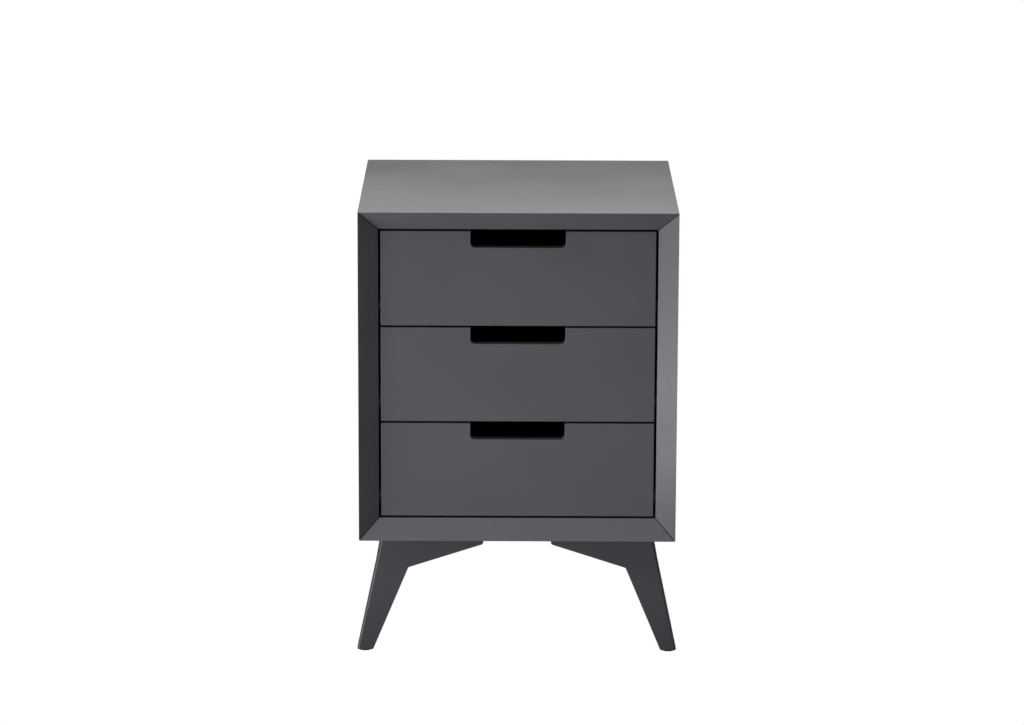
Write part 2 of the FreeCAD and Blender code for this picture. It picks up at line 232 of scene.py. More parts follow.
def countersinks(name, places, direction, head, shank):
    # one cutter for a row of countersunk heads, whose faces are at the places
    cones = []
    depth = head - shank
    turn = Vector((0, 0, 1)).rotation_difference(Vector(direction)).to_euler()
    for place in places:
        bpy.ops.object.select_all(action="DESELECT")
        bpy.ops.mesh.primitive_cone_add(vertices=32, radius1=head, radius2=shank, depth=depth,
                                        location=Vector(place) + Vector(direction) * depth / 2,
                                        rotation=turn)
        cones.append(keepPrimitive(name, (1, 1, 1)))
    return joinPieces(cones, name)


def finishPiece(piece, material, slot, body, *nodes):
    # even shading, finish and place in the frame
    useOnly(piece)
    bpy.ops.object.shade_smooth_by_angle(angle=smoothAngle)
    useModifier(piece, "WEIGHTED_NORMAL", keep_sharp=True)
    piece.data.materials.clear()
    piece.data.materials.append(material)
    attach(piece, body)
    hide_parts(*nodes)


def linearColour(hexText):
    # sRGB hex to the linear red, green, blue and alpha that shaders take
    parts = [int(hexText[i:i + 2], 16) / 255 for i in (1, 3, 5)]
    return [c / 12.92 if c <= 0.04045 else ((c + 0.055) / 1.055) ** 2.4 for c in parts] + [1]


def perMetre(size):
    return 1000 / size   # a texture's scale, from the real size of its pattern in mm


def addNode(tree, kind, settings=None, links=None):
    # settings and links name a socket, or a setting of the node itself
    node = tree.nodes.new(kind)
    for name, value in (settings or {}).items():
        if isinstance(name, int) or name in node.inputs:
            node.inputs[name].default_value = value
        else:
            setattr(node, name, value)
    for name, source in (links or {}).items():
        tree.links.new(source, node.inputs[name])
    return node


def startMaterial(name, settings):
    # a principled shader with its constants on its own sockets, and the object's coordinates
    material = bpy.data.materials.new(name)
    material.use_nodes = True
    tree = material.node_tree
    tree.nodes.clear()
    shader = addNode(tree, "ShaderNodeBsdfPrincipled", settings)
    addNode(tree, "ShaderNodeOutputMaterial", {}, {"Surface": shader.outputs["BSDF"]})
    place = addNode(tree, "ShaderNodeTexCoord").outputs["Object"]
    return material, tree, shader, place


def addRamp(tree, source, shader, low, high):
    # blends two hex colours into the base colour, between two values of the source
    ramp = addNode(tree, "ShaderNodeValToRGB", {}, {"Fac": source})
    for stop, (position, colour) in zip(ramp.color_ramp.elements, (low, high)):
        stop.position = position
        stop.color = linearColour(colour)
    tree.links.new(ramp.outputs["Color"], shader.inputs["Base Color"])


def addRange(tree, source, between, values, target):
    spread = addNode(tree, "ShaderNodeMapRange", {
        "From Min": between[0], "From Max": between[1], "To Min": values[0],
        "To Max": values[1]}, {"Value": source})
    tree.links.new(spread.outputs["Result"], target)


def addBump(tree, source, depth, shader):
    bump = addNode(tree, "ShaderNodeBump", {"Distance": depth}, {"Height": source})
    tree.links.new(bump.outputs["Normal"], shader.inputs["Normal"])


def makeLacquer():
    # satin two-pack polyurethane, sprayed on sanded MDF: a low even sheen with fine orange peel
    finish = {"deep": "#4e4d52", "pale": "#525156", "sheen": (0.30, 0.37), "cloud": 140,
              "mist": 6, "orangePeel": 2.2, "peelDepth": mm(0.012)}
    material, tree, shader, place = startMaterial("satin_lacquer_on_mdf", {
        "IOR": 1.5, "Specular IOR Level": 0.5})
    cloud = addNode(tree, "ShaderNodeTexNoise", {"Scale": perMetre(finish["cloud"]), "Detail": 3},
                    {"Vector": place})
    mist = addNode(tree, "ShaderNodeTexNoise", {"Scale": perMetre(finish["mist"]), "Detail": 3},
                   {"Vector": place})
    both = addNode(tree, "ShaderNodeMath", {"operation": "ADD"},
                   {0: cloud.outputs["Fac"], 1: mist.outputs["Fac"]})
    addRamp(tree, cloud.outputs["Fac"], shader, (0.35, finish["deep"]), (0.65, finish["pale"]))
    addRange(tree, both.outputs["Value"], (0.7, 1.3), finish["sheen"], shader.inputs["Roughness"])
    peel = addNode(tree, "ShaderNodeTexNoise", {"Scale": perMetre(finish["orangePeel"]),
                                                "Detail": 1.5}, {"Vector": place})
    addBump(tree, peel.outputs["Fac"], finish["peelDepth"], shader)
    return material


def makeMelamine():
    # chipboard faced with melamine paper and banded: matt, with a pearl pressed into it
    finish = {"dark": "#414144", "light": "#48484b", "roughness": (0.46, 0.56), "pearl": 1.4,
              "print": 9, "pearlDepth": mm(0.02)}
    material, tree, shader, place = startMaterial("melamine_faced_board", {"IOR": 1.5})
    pearl = addNode(tree, "ShaderNodeTexVoronoi", {"Scale": perMetre(finish["pearl"]),
                    "feature": "SMOOTH_F1", "Smoothness": 0.8}, {"Vector": place})
    paper = addNode(tree, "ShaderNodeTexNoise", {"Scale": perMetre(finish["print"]), "Detail": 6,
                                                 "Roughness": 0.65}, {"Vector": place})
    addRamp(tree, paper.outputs["Fac"], shader, (0.38, finish["dark"]), (0.62, finish["light"]))
    addRange(tree, paper.outputs["Fac"], (0.3, 0.7), finish["roughness"],
             shader.inputs["Roughness"])
    addBump(tree, pearl.outputs["Distance"], finish["pearlDepth"], shader)
    return material


def makeHardboard():
    # hardboard with a printed paper foil: matt, with the paper's fibres lying one way
    finish = {"dark": "#29292c", "light": "#303033", "roughness": (0.55, 0.68),
              "fibre": (0.9, 7), "depth": mm(0.02)}
    material, tree, shader, place = startMaterial("foiled_hardboard", {"IOR": 1.48})
    across, along = finish["fibre"]
    stretch = addNode(tree, "ShaderNodeMapping", {
        "Scale": (perMetre(across), perMetre(across), perMetre(along))}, {"Vector": place})
    fibres = addNode(tree, "ShaderNodeTexNoise", {"Scale": 1, "Detail": 4, "Roughness": 0.6},
                     {"Vector": stretch.outputs["Vector"]})
    addRamp(tree, fibres.outputs["Fac"], shader, (0.4, finish["dark"]), (0.6, finish["light"]))
    addRange(tree, fibres.outputs["Fac"], (0.3, 0.7), finish["roughness"],
             shader.inputs["Roughness"])
    addBump(tree, fibres.outputs["Fac"], finish["depth"], shader)
    return material


def makePowderCoat():
    # epoxy powder baked on sheet steel: a tight, slightly glossy pebble
    finish = {"dark": "#1d1d1f", "light": "#222224", "roughness": (0.36, 0.46), "pebble": 1.1,
              "depth": mm(0.025)}
    material, tree, shader, place = startMaterial("powder_coated_steel", {"IOR": 1.52})
    pebble = addNode(tree, "ShaderNodeTexNoise", {"Scale": perMetre(finish["pebble"]),
                                                  "Detail": 2}, {"Vector": place})
    addRamp(tree, pebble.outputs["Fac"], shader, (0.35, finish["dark"]), (0.65, finish["light"]))
    addRange(tree, pebble.outputs["Fac"], (0.3, 0.7), finish["roughness"],
             shader.inputs["Roughness"])
    addBump(tree, pebble.outputs["Fac"], finish["depth"], shader)
    return material


def makeNylon():
    # injection-moulded natural nylon: milky, waxy, with faint flow marks
    finish = {"milk": "#cfccc4", "cream": "#c6c2b8", "roughness": (0.34, 0.46), "flow": 4,
              "depth": mm(0.01)}
    material, tree, shader, place = startMaterial("moulded_nylon", {
        "IOR": 1.53, "Subsurface Weight": 0.15, "Subsurface Radius": mm(1.2, 1.0, 0.8),
        "Subsurface Scale": 1})
    flow = addNode(tree, "ShaderNodeTexNoise", {"Scale": perMetre(finish["flow"]), "Detail": 3,
                                                "Distortion": 1.2}, {"Vector": place})
    addRamp(tree, flow.outputs["Fac"], shader, (0.35, finish["cream"]), (0.65, finish["milk"]))
    addRange(tree, flow.outputs["Fac"], (0.3, 0.7), finish["roughness"],
             shader.inputs["Roughness"])
    addBump(tree, flow.outputs["Fac"], finish["depth"], shader)
    return material


def makeZinc():
    # bright zinc plate with a clear passivation: silver, with a fine crystal flicker
    finish = {"pale": "#c9cbcc", "blue": "#bcc0c6", "roughness": (0.22, 0.38), "crystal": 0.7,
              "depth": mm(0.006)}
    material, tree, shader, place = startMaterial("zinc_plated_steel", {"Metallic": 1})
    crystal = addNode(tree, "ShaderNodeTexVoronoi", {"Scale": perMetre(finish["crystal"])},
                      {"Vector": place})
    shade = addNode(tree, "ShaderNodeSeparateColor", {}, {"Color": crystal.outputs["Color"]})
    addRamp(tree, shade.outputs["Red"], shader, (0.2, finish["blue"]), (0.8, finish["pale"]))
    addRange(tree, shade.outputs["Green"], (0, 1), finish["roughness"],
             shader.inputs["Roughness"])
    addBump(tree, crystal.outputs["Distance"], finish["depth"], shader)
    return material


def makeBeech():
    # turned beech, unfinished: pale, with the short dark flecks of its rays
    finish = {"wood": "#c9a172", "fleck": "#a9794b", "ray": (0.4, 2.5), "roughness": (0.55, 0.7),
              "depth": mm(0.03)}
    material, tree, shader, place = startMaterial("turned_beech", {"IOR": 1.45})
    across, along = finish["ray"]
    stretch = addNode(tree, "ShaderNodeMapping", {
        "Scale": (perMetre(across), perMetre(across), perMetre(along))}, {"Vector": place})
    rays = addNode(tree, "ShaderNodeTexNoise", {"Scale": 1, "Detail": 3},
                   {"Vector": stretch.outputs["Vector"]})
    addRamp(tree, rays.outputs["Fac"], shader, (0.35, finish["fleck"]), (0.5, finish["wood"]))
    addRange(tree, rays.outputs["Fac"], (0.3, 0.7), finish["roughness"],
             shader.inputs["Roughness"])
    addBump(tree, rays.outputs["Fac"], finish["depth"], shader)
    return material


def makeFelt():
    # pressed wool felt: no shine, a nap of tangled fibres
    finish = {"dark": "#141415", "light": "#242426", "fibre": 0.5, "roughness": (0.9, 1.0),
              "depth": mm(0.2)}
    material, tree, shader, place = startMaterial("pressed_felt", {
        "IOR": 1.4, "Specular IOR Level": 0.2, "Sheen Weight": 0.3, "Sheen Roughness": 0.6})
    nap = addNode(tree, "ShaderNodeTexNoise", {"Scale": perMetre(finish["fibre"]), "Detail": 5,
                                               "Distortion": 2}, {"Vector": place})
    addRamp(tree, nap.outputs["Fac"], shader, (0.35, finish["dark"]), (0.65, finish["light"]))
    addRange(tree, nap.outputs["Fac"], (0.3, 0.7), finish["roughness"],
             shader.inputs["Roughness"])
    addBump(tree, nap.outputs["Fac"], finish["depth"], shader)
    return material


lacquer, melamine, hardboard = makeLacquer(), makeMelamine(), makeHardboard()
steel, nylon, zinc = makePowderCoat(), makeNylon(), makeZinc()
beech, felt = makeBeech(), makeFelt()
print("materials made")

frontLow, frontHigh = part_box("lower_drawer_front")
backLow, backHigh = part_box("back_panel")

caseBoard = {
    "slopeStart": frontLow.y,      # the sloped front edges end where the drawer fronts begin
    "rebateFace": backLow.y,
    "rebateLap": mm(9),
    "edgeRadius": mm(1.0),
    "mitreWeight": 0.35,           # of the edge radius: the joint shows as a hairline
    "mitreGap": mm(0.2),           # from each board to the joint's middle
    "innerWeight": 0.6,            # of the edge radius, on all but the outer edges
}


def makeCaseBoard(node, out, sign):
    # out is the axis that the board faces along, and sign the way it faces
    low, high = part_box(node)
    along = 2 - out
    outer, inner = (high[out], low[out]) if sign > 0 else (low[out], high[out])
    thick = high[out] - low[out]
    piece = addBlock(node + "_lacquered", low, (high.x, caseBoard["rebateFace"], high.z))
    outWay = Vector([sign if axis == out else 0 for axis in range(3)])
    alongWay = Vector([1 if axis == along else 0 for axis in range(3)])
    startEdit(piece)
    for end, way in ((low[along], 1), (high[along], -1)):
        pick(piece, "VERT", lambda p: isAt(p[along], end))
        move(alongWay * way * caseBoard["mitreGap"])
        end += way * caseBoard["mitreGap"]
        pick(piece, "VERT", lambda p: isAt(p[out], inner) and isAt(p[along], end))
        move(alongWay * way * thick)
    pick(piece, "VERT", lambda p: isAt(p[out], inner) and isAt(p.y, low.y))
    move((0, caseBoard["slopeStart"] - low.y, 0))
    # the outer part of the rear runs on past the back panel
    lap = inner + sign * caseBoard["rebateLap"]
    pick(piece, "FACE", lambda p: isAt(p.y, caseBoard["rebateFace"]))
    bisect(outWay * sign * lap, outWay)
    pick(piece, "FACE", lambda p: isAt(p.y, caseBoard["rebateFace"]) and (p[out] - lap) * sign > 0)
    extrude((0, high.y - caseBoard["rebateFace"], 0))
    mergeFlat()
    tidyNormals()
    endEdit()

    def onMitre(p):
        fromEnd = min(p[along] - low[along], high[along] - p[along]) - caseBoard["mitreGap"]
        return isAt(fromEnd, abs(outer - p[out]))

    def weigh(a, b):
        if onMitre(a) and onMitre(b):
            return caseBoard["mitreWeight"]
        return 1 if isAt(a[out], outer) and isAt(b[out], outer) else caseBoard["innerWeight"]

    roundEdges(piece, caseBoard["edgeRadius"], segments=3, weigh=weigh)
    finishPiece(piece, lacquer, "anthracite_lacquer", "case", node)


for board, facing, direction in (("top_panel", 2, 1), ("bottom_panel", 2, -1),
                                 ("left_side_panel", 0, -1), ("right_side_panel", 0, 1)):
    makeCaseBoard(board, facing, direction)
print("case boards made")


def makeBackPanel():
    # thin foiled hardboard, laid in the boards' rebate and held by a screw every so often
    shape = {"edgeRadius": mm(0.4), "screwHead": mm(3.05), "screwShank": mm(1.55),
             "screwSpread": 0.36, "overlap": mm(8.5)}
    panel = addBlock("back_panel_foiled", backLow, backHigh)
    edgeX = backHigh.x - shape["overlap"] + caseBoard["rebateLap"] / 2
    lowZ = backLow.z + shape["overlap"] - caseBoard["rebateLap"] / 2
    highZ = backHigh.z - shape["overlap"] + caseBoard["rebateLap"] / 2
    places = []
    for step in (-1, 0, 1):
        across = step * 2 * edgeX * shape["screwSpread"]
        upward = (lowZ + highZ) / 2 + step * (highZ - lowZ) * shape["screwSpread"]
        places += [(across, backHigh.y, z) for z in (lowZ, highZ)]
        places += [(x, backHigh.y, upward) for x in (-edgeX, edgeX)]
    cutAway(panel, countersinks("back_countersinks", places, (0, -1, 0), shape["screwHead"],
                                shape["screwShank"]))
    roundEdges(panel, shape["edgeRadius"], segments=2,
               weigh=lambda a, b: boxEdge(a, b, backLow, backHigh))
    finishPiece(panel, hardboard, "back_board", "case", "back_panel")


makeBackPanel()
print("back panel made")

# Legs: two boards folded round each corner, splayed both ways, with an arm along each side
leg = {
    "board": mm(20),
    "splay": mm(33),          # how far the foot stands out, both ways
    "footWidth": mm(21.3),
    "crook": mm(35.04, 0, 109),   # from the leg's outer corner, and above the floor
    "tipHeight": mm(12.5),
    "foldRadius": mm(3),
    "tipRadius": mm(3),
    "edgeRadius": mm(1.2),    # sanded arrises
    "jointRadius": mm(0.4),   # where the leg meets the case
}


def makeLegShape(name, footZ, topZ, reachX, reachY):
    # the outer corner's top is at x = 0 and y = 0, and the arms run along +x and +y
    board = leg["board"]

    def outward(z):
        return -leg["splay"] * (topZ - z) / (topZ - footZ)

    def onFront(x, z):
        return Vector((x, outward(z), z))

    def onSide(y, z):
        return Vector((outward(z), y, z))

    foldTop = Vector((0, 0, topZ))
    foldFoot = onFront(-leg["splay"], footZ)
    crookX, crookZ = leg["crook"].x, leg["crook"].z
    piece = addSheet(name, (0, 0, footZ), (crookX, 0, topZ))
    startEdit(piece)
    moveCorner(piece, Vector((0, 0, footZ)), foldFoot)
    moveCorner(piece, Vector((crookX, 0, footZ)), onFront(leg["footWidth"] - leg["splay"], footZ))
    moveCorner(piece, Vector((crookX, 0, topZ)), onFront(crookX, crookZ))
    # front arm
    pickEdge(piece, foldTop, onFront(crookX, crookZ))
    extrude((reachX, 0, 0))
    moveCorner(piece, onFront(crookX + reachX, crookZ), onFront(reachX, crookZ))
    moveCorner(piece, onFront(reachX, crookZ), onFront(reachX, topZ - leg["tipHeight"]))
    # side board, then its arm
    pickEdge(piece, foldTop, foldFoot)
    extrude((0, reachY, 0))
    moveCorner(piece, foldFoot + Vector((0, reachY, 0)),
               onSide(leg["footWidth"] - leg["splay"], footZ))
    moveCorner(piece, Vector((0, reachY, topZ)), onSide(crookX, crookZ))
    pickEdge(piece, foldTop, onSide(crookX, crookZ))
    extrude((0, reachY, 0))
    moveCorner(piece, onSide(crookX + reachY, crookZ), onSide(reachY, topZ - leg["tipHeight"]))
    # thickness: the whole sheet goes inwards both ways, then each board comes back one way
    bpy.ops.mesh.select_mode(type="FACE")
    bpy.ops.mesh.select_all(action="SELECT")
    extrude((board, board, 0))
    pick(piece, "VERT", lambda p: isAt(p.y, outward(p.z) + board)
         and not isAt(p.x, outward(p.z) + board))
    move((-board, 0, 0))
    pick(piece, "VERT", lambda p: isAt(p.x, outward(p.z) + board)
         and not isAt(p.y, outward(p.z) + board))
    move((0, -board, 0))
    mergeFlat()
    tidyNormals()
    endEdit()

    def weigh(a, b):
        ends = (a, b)
        if all(isAt(p.x, outward(p.z)) and isAt(p.y, outward(p.z)) for p in ends):
            return 1
        if any(isAt(p.x, outward(p.z) + board) and isAt(p.y, outward(p.z) + board) for p in ends):
            return 0
        if all(isAt(p.z, topZ - leg["tipHeight"]) for p in ends):
            return leg["tipRadius"] / leg["foldRadius"]
        onTop = all(isAt(p.z, topZ) for p in ends)
        return (leg["jointRadius"] if onTop else leg["edgeRadius"]) / leg["foldRadius"]

    roundEdges(piece, leg["foldRadius"], segments=6, weigh=weigh)
    return piece


def makeLegs():
    for place, mirrorY in (("front", 1), ("rear", -1)):
        low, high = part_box(place + "_left_leg")
        cornerX = low.x + leg["splay"]
        cornerY = low.y + leg["splay"] if mirrorY > 0 else high.y - leg["splay"]
        reachY = high.y - low.y - leg["splay"]
        shape = makeLegShape(place + "_leg_shape", low.z, high.z, high.x - cornerX, reachY)
        for side, mirrorX in (("left", 1), ("right", -1)):
            name = place + "_" + side + "_leg"
            twin = copyPiece(shape, name + "_lacquered", (mirrorX * cornerX, cornerY, 0),
                             (mirrorX, mirrorY, 1))
            finishPiece(twin, lacquer, "anthracite_lacquer", "case", name)
        bpy.data.objects.remove(shape)


makeLegs()
print("legs made")


def makeFootPads():
    # punched felt discs, pressed a little hollow underneath
    pad = {"radius": mm(9), "thickness": mm(2), "edgeRadius": mm(0.5), "sides": 64,
           "hollowInset": mm(3), "hollow": mm(0.15)}
    bpy.ops.object.select_all(action="DESELECT")
    bpy.ops.mesh.primitive_cylinder_add(vertices=pad["sides"], radius=pad["radius"],
                                        depth=pad["thickness"],
                                        location=(0, 0, pad["thickness"] / 2))
    shape = keepPrimitive("pad_shape", (1, 1, 1))
    startEdit(shape)
    pick(shape, "FACE", lambda p: isAt(p.z, 0))
    bpy.ops.mesh.inset(thickness=pad["hollowInset"])
    move((0, 0, pad["hollow"]))
    endEdit()
    roundEdges(shape, pad["edgeRadius"], segments=3)
    inset = leg["footWidth"] / 2
    pads = []
    for name in ("front_left", "front_right", "rear_left", "rear_right"):
        low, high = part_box(name + "_leg")
        x = low.x + inset if "left" in name else high.x - inset
        y = low.y + inset if "front" in name else high.y - inset
        pads.append(copyPiece(shape, "pad", (x, y, 0), (1, 1, 1)))
    bpy.data.objects.remove(shape)
    finishPiece(joinPieces(pads, "foot_pads_felt"), felt, "pad_felt", "case", "foot_pads")


makeFootPads()
print("foot pads made")

# Drawers: every level is the lower one, raised
levels = ["lower", "middle", "upper"]
levelRise = {level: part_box(level + "_drawer_front")[0].z - frontLow.z for level in levels}
drawer = {
    "gripWidth": mm(125),
    "gripDepth": mm(22),
    "gripRadius": mm(6),
    "faceRadius": mm(0.8),
    "rearRadius": mm(0.5),
    "boardRadius": mm(0.5),     # edge banding, trimmed and scraped
    "jointGap": mm(0.15),
}


def makeDrawerFront():
    low, high = frontLow, frontHigh
    notch = high.z - drawer["gripDepth"]
    half = drawer["gripWidth"] / 2
    piece = addSheet("drawer_front_shape", low, (high.x, low.y, high.z))
    startEdit(piece)
    for point, way in ((Vector((-half, 0, 0)), (1, 0, 0)), (Vector((half, 0, 0)), (1, 0, 0)),
                       (Vector((0, 0, notch)), (0, 0, 1))):
        bpy.ops.mesh.select_all(action="SELECT")
        bisect(point, way)
    pick(piece, "FACE", lambda p: abs(p.x) < half and p.z > notch)
    bpy.ops.mesh.delete(type="FACE")
    mergeFlat()
    pick(piece, "VERT", lambda p: isAt(abs(p.x), half) and isAt(p.z, notch))
    bpy.ops.mesh.bevel(offset=drawer["gripRadius"], segments=10, affect="VERTICES")
    bpy.ops.mesh.select_mode(type="FACE")
    bpy.ops.mesh.select_all(action="SELECT")
    extrude((0, high.y - low.y, 0))
    tidyNormals()
    endEdit()
    # sockets for the sides and a groove for the bottom, on the rear
    gap = Vector((drawer["jointGap"],) * 3)
    for node in ("lower_drawer_left_side", "lower_drawer_right_side", "lower_drawer_bottom"):
        innerLow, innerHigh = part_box(node)
        cutAway(piece, addBlock("socket", innerLow - gap, innerHigh + gap))

    def weigh(a, b):
        if isAt(a.y, low.y) and isAt(b.y, low.y):
            return 1
        rear = isAt(a.y, high.y) and isAt(b.y, high.y)
        alongX = [isAt(abs(p.x), high.x) for p in (a, b)]
        alongZ = [isAt(p.z, low.z) or isAt(p.z, high.z) for p in (a, b)]
        onOutline = all(alongX) or all(alongZ)
        onGrip = min(a.z, b.z) > notch - drawer["rearRadius"]
        if rear and (onOutline or onGrip):
            return drawer["rearRadius"] / drawer["faceRadius"]
        corner = onOutline and not rear and all(x and z for x, z in zip(alongX, alongZ))
        return drawer["rearRadius"] / drawer["faceRadius"] if corner else 0

    roundEdges(piece, drawer["faceRadius"], segments=3, weigh=weigh)
    return piece


def makeDrawerSide():
    low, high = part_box("lower_drawer_left_side")
    bottomLow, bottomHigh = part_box("lower_drawer_bottom")
    rearLow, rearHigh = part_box("lower_drawer_back")
    gap = Vector((drawer["jointGap"],) * 3)
    piece = addBlock("drawer_side_shape", low, high)
    cutAway(piece, addBlock("groove", (bottomLow.x - gap.x, low.y - gap.y, bottomLow.z - gap.z),
                            (high.x + gap.x, high.y + gap.y, bottomHigh.z + gap.z)))
    cutAway(piece, addBlock("rebate", rearLow - gap, rearHigh + 2 * gap))
    roundEdges(piece, drawer["boardRadius"], segments=2)
    return piece


def makeDrawerBack():
    low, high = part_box("lower_drawer_back")
    piece = addBlock("drawer_back_shape", low, high)
    roundEdges(piece, drawer["boardRadius"], segments=2)
    return piece


def makeDrawerBottom():
    # 4 mm board, held under the drawer's back by three screws
    shape = {"screwSpacing": mm(120), "head": mm(3.05), "shank": mm(1.55), "edgeRadius": mm(0.3)}
    low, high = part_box("lower_drawer_bottom")
    rearLow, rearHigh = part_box("lower_drawer_back")
    rear = (rearLow.y + rearHigh.y) / 2
    piece = addBlock("drawer_bottom_shape", low, high)
    places = [(step * shape["screwSpacing"], rear, low.z) for step in (-1, 0, 1)]
    cutAway(piece, countersinks("bottom_countersinks", places, (0, 0, 1), shape["head"],
                                shape["shank"]))
    roundEdges(piece, shape["edgeRadius"], segments=2,
               weigh=lambda a, b: boxEdge(a, b, low, high))
    return piece


def placeOnLevels(shape, node, material, slotName, body="LEVEL_drawer", ending="_finished"):
    # a copy for every level, and for each side if the node's name has one: the shape is a left one
    sides = (("left", 1), ("right", -1)) if "SIDE" in node else (("", 1),)
    for level in levels:
        for side, way in sides:
            name, rider = (words.replace("LEVEL", level).replace("SIDE", side)
                           for words in (node, body))
            twin = copyPiece(shape, name + ending, (0, 0, levelRise[level]), (way, 1, 1))
            finishPiece(twin, material, slotName, rider, name)
    bpy.data.objects.remove(shape)


placeOnLevels(makeDrawerFront(), "LEVEL_drawer_front", lacquer, "anthracite_lacquer")
placeOnLevels(makeDrawerSide(), "LEVEL_drawer_SIDE_side", melamine, "drawer_board")
placeOnLevels(makeDrawerBack(), "LEVEL_drawer_back", melamine, "drawer_board")
placeOnLevels(makeDrawerBottom(), "LEVEL_drawer_bottom", melamine, "drawer_board")
print("drawer boxes made")

# Runners: rolled and folded from sheet steel, each with a nylon roller
runner = {
    "sheet": mm(1.2),
    "foldRadius": mm(1.2),      # along the middle of the sheet
    "cornerRadius": mm(3),      # of the flanges' ends
    "burr": mm(0.12),
    "screwInset": mm(40),
    "screwHead": mm(3.3),
    "screwShank": mm(1.8),
    "smallHead": mm(3.05),
    "smallShank": mm(1.55),
    "smallScrewRise": mm(4),    # over the underside of the drawer's side
    "slot": mm(9, 0, 4.2),      # spare fixing slots, before and after each screw
    "slotRounding": 0.48,       # of their height
    "slotSpacing": mm(24),
    "slotMargin": mm(20),       # left whole at the rail's ends
    "lugHeight": mm(3.8),
    "lugFace": mm(-89.6),
    "lugMargin": mm(1.8),
    "lugRadius": mm(1.2),
    "flangeCut": mm(2.6),
    "spare": mm(1),             # how far a cutter runs past the sheet
}


def railScrewPlaces(low, high, x, z):
    return [(x, y, z) for y in (low.y + runner["screwInset"], (low.y + high.y) / 2,
                                high.y - runner["screwInset"])]


def cutSlots(piece, low, high, screws):
    # long holes through the web: blocks with round ends
    size = runner["slot"]
    depth = runner["sheet"] + runner["spare"]

    def weigh(a, b):
        return 1 if isAt(a.y, b.y) and isAt(a.z, b.z) else 0

    for x, screwY, z in screws:
        for y in (screwY - runner["slotSpacing"], screwY + runner["slotSpacing"]):
            if low.y + runner["slotMargin"] < y < high.y - runner["slotMargin"]:
                cutter = addBlock("slot", (x - depth, y - size.x / 2, z - size.z / 2),
                                  (x + depth, y + size.x / 2, z + size.z / 2))
                roundEdges(cutter, size.z * runner["slotRounding"], segments=6, weigh=weigh)
                cutAway(piece, cutter)


def makeCaseRail():
    # a channel, open towards the drawer, with a lug cut up from its floor as the stop
    low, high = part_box("lower_left_case_rail")
    half = runner["sheet"] / 2
    web = low.x + half
    bottom, top = low.z + half, high.z - half
    reach = high.x - web
    piece = addSheet("case_rail_shape", (web, low.y, bottom), (web, high.y, top))
    startEdit(piece)
    for z in (bottom, top):
        pick(piece, "EDGE", lambda p: isAt(p.x, web) and isAt(p.z, z))
        extrude((reach, 0, 0))
    pick(piece, "VERT", lambda p: isAt(p.x, web + reach))
    bpy.ops.mesh.bevel(offset=runner["cornerRadius"], segments=5, affect="VERTICES")
    pick(piece, "EDGE", lambda p: isAt(p.x, web) and (isAt(p.z, bottom) or isAt(p.z, top)))
    bpy.ops.mesh.bevel(offset=runner["foldRadius"], segments=5, affect="EDGES")
    tidyNormals()
    endEdit()
    useModifier(piece, "SOLIDIFY", thickness=runner["sheet"], offset=0, use_even_offset=True)
    face = low.x + runner["sheet"]
    middle = (low.z + high.z) / 2
    places = railScrewPlaces(low, high, face, middle)
    cutAway(piece, countersinks("case_rail_countersinks", places, (-1, 0, 0),
                                runner["screwHead"], runner["screwShank"]))
    cutSlots(piece, low, high, places)
    lug = addBlock("lug", (face + runner["lugMargin"], runner["lugFace"] - runner["sheet"],
                           low.z + runner["sheet"] / 2),
                   (high.x - runner["lugMargin"], runner["lugFace"],
                    low.z + runner["sheet"] + runner["lugHeight"]))

    def weigh(a, b):
        return 1 if isAt(a.x, b.x) and isAt(a.z, b.z) and a.z > low.z + runner["sheet"] else 0

    roundEdges(lug, runner["lugRadius"], segments=4, weigh=weigh)
    piece = joinPieces([piece, lug], "case_rail_shape")
    roundEdges(piece, runner["burr"], segments=1)
    return piece


def makeDrawerRail():
    # the lower flange carries the drawer box, the upper one runs on the case's roller
    low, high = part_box("lower_left_drawer_rail")
    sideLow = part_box("lower_drawer_left_side")[0]
    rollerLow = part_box("lower_left_drawer_roller")[0]
    spare = runner["spare"]
    half = runner["sheet"] / 2
    web = sideLow.x - half
    bottom, top = low.z + half, high.z - half
    piece = addSheet("drawer_rail_shape", (web, low.y, bottom), (web, high.y, top))
    startEdit(piece)
    for z, reach in ((bottom, high.x - web), (top, low.x - web)):
        pick(piece, "EDGE", lambda p: isAt(p.x, web) and isAt(p.z, z))
        extrude((reach, 0, 0))
    pick(piece, "VERT", lambda p: isAt(p.x, high.x))
    bpy.ops.mesh.bevel(offset=runner["cornerRadius"], segments=5, affect="VERTICES")
    pick(piece, "EDGE", lambda p: isAt(p.x, web) and (isAt(p.z, bottom) or isAt(p.z, top)))
    bpy.ops.mesh.bevel(offset=runner["foldRadius"], segments=5, affect="EDGES")
    tidyNormals()
    endEdit()
    useModifier(piece, "SOLIDIFY", thickness=runner["sheet"], offset=0, use_even_offset=True)
    # the running flange stops short of the roller
    cutAway(piece, addBlock("flange_end",
                            (low.x - spare, rollerLow.y - spare, high.z - runner["flangeCut"]),
                            (web - half, high.y + spare, high.z + spare)))
    face = web - half
    places = railScrewPlaces(low, high, face, sideLow.z + runner["smallScrewRise"])
    cutAway(piece, countersinks("drawer_rail_countersinks", places, (1, 0, 0),
                                runner["smallHead"], runner["smallShank"]))
    roundEdges(piece, runner["burr"], segments=1)
    return piece


placeOnLevels(makeCaseRail(), "LEVEL_SIDE_case_rail", steel, "runner_steel", "case")
placeOnLevels(makeDrawerRail(), "LEVEL_SIDE_drawer_rail", steel, "runner_steel")
print("rails made")


turning = {"steps": 64, "seam": mm(0.004)}


